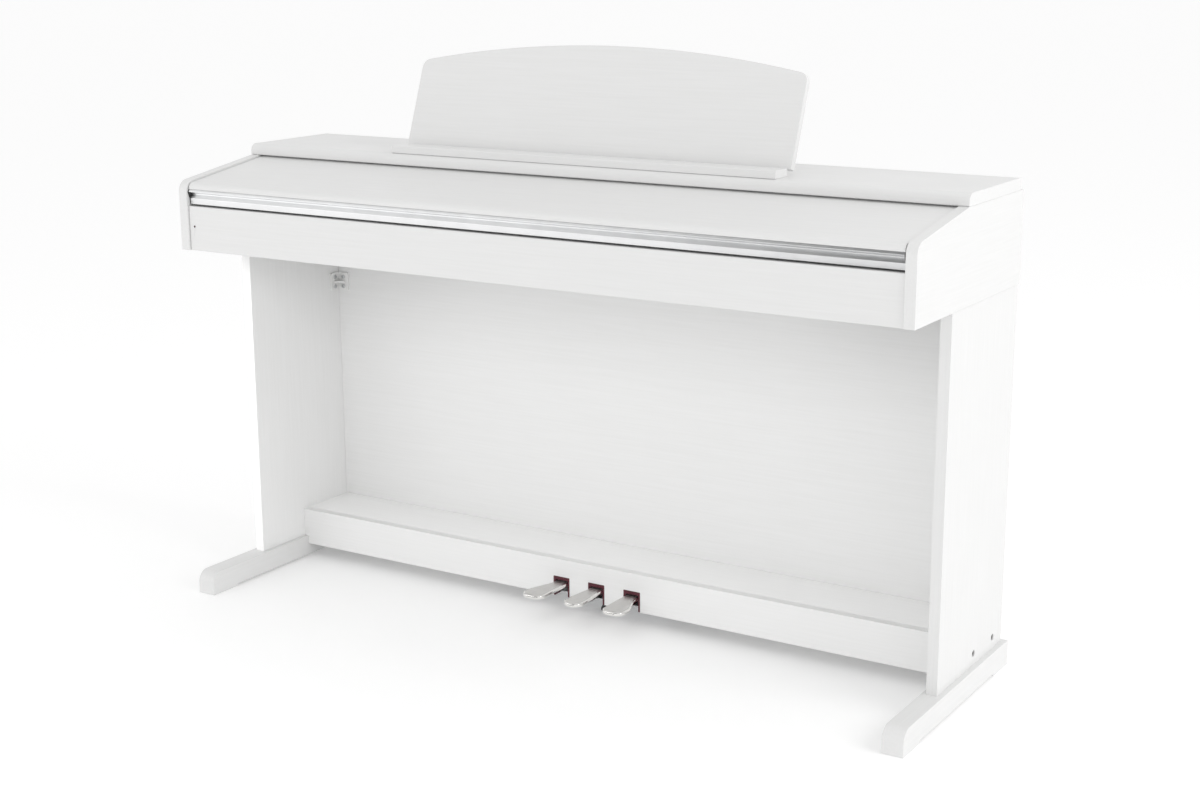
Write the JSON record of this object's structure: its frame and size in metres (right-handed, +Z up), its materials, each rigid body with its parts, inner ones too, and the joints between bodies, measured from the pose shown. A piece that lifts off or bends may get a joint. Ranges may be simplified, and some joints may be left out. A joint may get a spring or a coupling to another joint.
{
  "type": "digital piano on stand",
  "caption": "Console digital piano with a sliding key lid, folding music rest and sprung pedals, on a white panel stand with bar feet.",
  "frame": {"origin": "on the floor, at the middle of the bounding box's bottom face, midway between the feet and midway along them", "axes": "+Z up, +X to the player's right along the keyboard, -Y towards the player"},
  "size_m": [1.412, 0.44, 1.0088],
  "materials": {
    "satin_white": "satin white foil on chipboard",
    "zinc_steel": "zinc plated, satin",
    "pedal_steel": "satin nickel",
    "grip_aluminium": "anodised, satin",
    "white_plastic": "moulded, matt",
    "ivory_plastic": "polished",
    "ebony_plastic": "satin black",
    "black_plastic": "moulded, matt",
    "black_metal": "powder coat",
    "key_felt": "pressed wool felt",
    "pedal_felt": "pressed wool felt, dark red",
    "circuit_green": "solder mask",
    "lamp_lens": "clear dark red, unlit",
    "prop_wire": "bright",
    "dark_screw": "black zinc",
    "nylon": "natural"
  },
  "bodies": {
    "piano": {"body_angles": "zinc_steel", "bottom_board": "satin_white", "bracket_screws": "dark_screw", "connector_panel": "black_metal", "control_panel": "white_plastic", "corner_brackets": "white_plastic", "front_rail": "satin_white", "key_end_blocks": "white_plastic", "key_felts": "key_felt", "key_frame": "zinc_steel", "left_cheek": "satin_white", "left_foot": "satin_white", "left_leg": "satin_white", "lid_tracks": "white_plastic", "main_board": "circuit_green", "music_rest_hinges": "zinc_steel", "music_rest_ledge": "satin_white", "pedal_felts": "pedal_felt", "pedal_front_board": "satin_white", "pedal_pivot_rod": "zinc_steel", "pedal_top_board": "satin_white", "pedal_tray": "zinc_steel", "pilot_lamp": "lamp_lens", "rear_board": "satin_white", "right_cheek": "satin_white", "right_foot": "satin_white", "right_leg": "satin_white", "speaker_grilles": "black_metal", "speakers": "black_plastic", "stand_back_panel": "satin_white", "stand_bolts": "dark_screw", "top_board": "satin_white"},
    "lid_carriage": {"lid_runners": "nylon"},
    "lid_shaft": {"lid_gear_shaft": "zinc_steel"},
    "key_lid": {"lid_panel": "satin_white", "lid_grip_rail": "grip_aluminium", "lid_brackets": "zinc_steel"},
    "music_rest": {"music_rest_desk": "satin_white", "music_rest_fittings": "white_plastic"},
    "rest_prop": {"music_rest_prop": "prop_wire"},
    "left_pedal": {"pedal_left": "pedal_steel"},
    "middle_pedal": {"pedal_middle": "pedal_steel"},
    "right_pedal": {"pedal_right": "pedal_steel"},
    "levelling_foot": {"levelling_foot": "black_plastic"},
    "power_button": {"power_button": "white_plastic"},
    "voice_button": {"voice_button": "white_plastic"},
    "metronome_button": {"metronome_button": "white_plastic"},
    "volume_knob": {"volume_knob": "white_plastic"},
    "c_keys": {"c_keys": "ivory_plastic"},
    "c_sharp_keys": {"c_sharp_keys": "ebony_plastic"},
    "d_keys": {"d_keys": "ivory_plastic"},
    "d_sharp_keys": {"d_sharp_keys": "ebony_plastic"},
    "e_keys": {"e_keys": "ivory_plastic"},
    "f_keys": {"f_keys": "ivory_plastic"},
    "f_sharp_keys": {"f_sharp_keys": "ebony_plastic"},
    "g_keys": {"g_keys": "ivory_plastic"},
    "g_sharp_keys": {"g_sharp_keys": "ebony_plastic"},
    "a_keys": {"a_keys": "ivory_plastic"},
    "a_sharp_keys": {"a_sharp_keys": "ebony_plastic"},
    "b_keys": {"b_keys": "ivory_plastic"}
  },
  "joints": [
    {"name": "lid_slide", "type": "slide", "parent": "piano", "child": "lid_carriage", "axis": [0, 1, 0], "range_m": [0, 0.175]},
    {"name": "lid_tilt", "type": "hinge", "parent": "lid_carriage", "child": "key_lid", "pos_m": [0, -0.02, 0.776], "axis": [1, 0, 0], "range_deg": [-8.61, 0]},
    {"name": "lid_shaft_spin", "type": "hinge", "parent": "lid_carriage", "child": "lid_shaft", "pos_m": [0, -0.02, 0.776], "axis": [1, 0, 0], "range_deg": [-1432.89, 0]},
    {"name": "rest_fold", "type": "hinge", "parent": "piano", "child": "music_rest", "pos_m": [0, 0.03983, 0.82959], "axis": [1, 0, 0], "range_deg": [-69.5, 0]},
    {"name": "prop_fold", "type": "hinge", "parent": "music_rest", "child": "rest_prop", "pos_m": [0, 0.06525, 0.87988], "axis": [1, 0, 0], "range_deg": [0, 124.6]},
    {"name": "left_pedal_press", "type": "hinge", "parent": "piano", "child": "left_pedal", "pos_m": [-0.074, 0.13, 0.046], "axis": [1, 0, 0], "range_deg": [0, 6], "stiffness_Nm_per_rad": 12, "springref_deg": -5.73},
    {"name": "middle_pedal_press", "type": "hinge", "parent": "piano", "child": "middle_pedal", "pos_m": [0, 0.13, 0.046], "axis": [1, 0, 0], "range_deg": [0, 6], "stiffness_Nm_per_rad": 12, "springref_deg": -5.73},
    {"name": "right_pedal_press", "type": "hinge", "parent": "piano", "child": "right_pedal", "pos_m": [0.074, 0.13, 0.046], "axis": [1, 0, 0], "range_deg": [0, 6], "stiffness_Nm_per_rad": 12, "springref_deg": -5.73},
    {"name": "levelling_screw", "type": "slide", "parent": "piano", "child": "levelling_foot", "axis": [0, 0, 1], "range_m": [-0.012, 0]},
    {"name": "power_press", "type": "slide", "parent": "piano", "child": "power_button", "axis": [0, 0, -1], "range_m": [0, 0.002], "stiffness_N_per_m": 600, "springref_m": -0.0015},
    {"name": "voice_press", "type": "slide", "parent": "piano", "child": "voice_button", "axis": [0, 0, -1], "range_m": [0, 0.0015], "stiffness_N_per_m": 600, "springref_m": -0.0015},
    {"name": "metronome_press", "type": "slide", "parent": "piano", "child": "metronome_button", "axis": [0, 0, -1], "range_m": [0, 0.0015], "stiffness_N_per_m": 600, "springref_m": -0.0015},
    {"name": "volume_turn", "type": "hinge", "parent": "piano", "child": "volume_knob", "pos_m": [-0.647, -0.1, 0.73], "axis": [0, 0, -1], "range_deg": [-140, 140]},
    {"name": "c_press", "type": "hinge", "parent": "piano", "child": "c_keys", "pos_m": [0, 0.013, 0.705], "axis": [1, 0, 0], "range_deg": [0, 2.73], "stiffness_Nm_per_rad": 20, "springref_deg": -3.44},
    {"name": "c_sharp_press", "type": "hinge", "parent": "piano", "child": "c_sharp_keys", "pos_m": [0, 0.013, 0.705], "axis": [1, 0, 0], "range_deg": [0, 2.73], "stiffness_Nm_per_rad": 20, "springref_deg": -3.44},
    {"name": "d_press", "type": "hinge", "parent": "piano", "child": "d_keys", "pos_m": [0, 0.013, 0.705], "axis": [1, 0, 0], "range_deg": [0, 2.73], "stiffness_Nm_per_rad": 20, "springref_deg": -3.44},
    {"name": "d_sharp_press", "type": "hinge", "parent": "piano", "child": "d_sharp_keys", "pos_m": [0, 0.013, 0.705], "axis": [1, 0, 0], "range_deg": [0, 2.73], "stiffness_Nm_per_rad": 20, "springref_deg": -3.44},
    {"name": "e_press", "type": "hinge", "parent": "piano", "child": "e_keys", "pos_m": [0, 0.013, 0.705], "axis": [1, 0, 0], "range_deg": [0, 2.73], "stiffness_Nm_per_rad": 20, "springref_deg": -3.44},
    {"name": "f_press", "type": "hinge", "parent": "piano", "child": "f_keys", "pos_m": [0, 0.013, 0.705], "axis": [1, 0, 0], "range_deg": [0, 2.73], "stiffness_Nm_per_rad": 20, "springref_deg": -3.44},
    {"name": "f_sharp_press", "type": "hinge", "parent": "piano", "child": "f_sharp_keys", "pos_m": [0, 0.013, 0.705], "axis": [1, 0, 0], "range_deg": [0, 2.73], "stiffness_Nm_per_rad": 20, "springref_deg": -3.44},
    {"name": "g_press", "type": "hinge", "parent": "piano", "child": "g_keys", "pos_m": [0, 0.013, 0.705], "axis": [1, 0, 0], "range_deg": [0, 2.73], "stiffness_Nm_per_rad": 20, "springref_deg": -3.44},
    {"name": "g_sharp_press", "type": "hinge", "parent": "piano", "child": "g_sharp_keys", "pos_m": [0, 0.013, 0.705], "axis": [1, 0, 0], "range_deg": [0, 2.73], "stiffness_Nm_per_rad": 20, "springref_deg": -3.44},
    {"name": "a_press", "type": "hinge", "parent": "piano", "child": "a_keys", "pos_m": [0, 0.013, 0.705], "axis": [1, 0, 0], "range_deg": [0, 2.73], "stiffness_Nm_per_rad": 20, "springref_deg": -3.44},
    {"name": "a_sharp_press", "type": "hinge", "parent": "piano", "child": "a_sharp_keys", "pos_m": [0, 0.013, 0.705], "axis": [1, 0, 0], "range_deg": [0, 2.73], "stiffness_Nm_per_rad": 20, "springref_deg": -3.44},
    {"name": "b_press", "type": "hinge", "parent": "piano", "child": "b_keys", "pos_m": [0, 0.013, 0.705], "axis": [1, 0, 0], "range_deg": [0, 2.73], "stiffness_Nm_per_rad": 20, "springref_deg": -3.44}
  ],
  "couplings": [
    {"joint": "lid_tilt", "follows": "lid_slide", "rad_per_m": -0.85662},
    {"joint": "lid_shaft_spin", "follows": "lid_slide", "rad_per_m": -142.86},
    {"joint": "prop_fold", "follows": "rest_fold", "ratio": -1.7914}
  ]
}
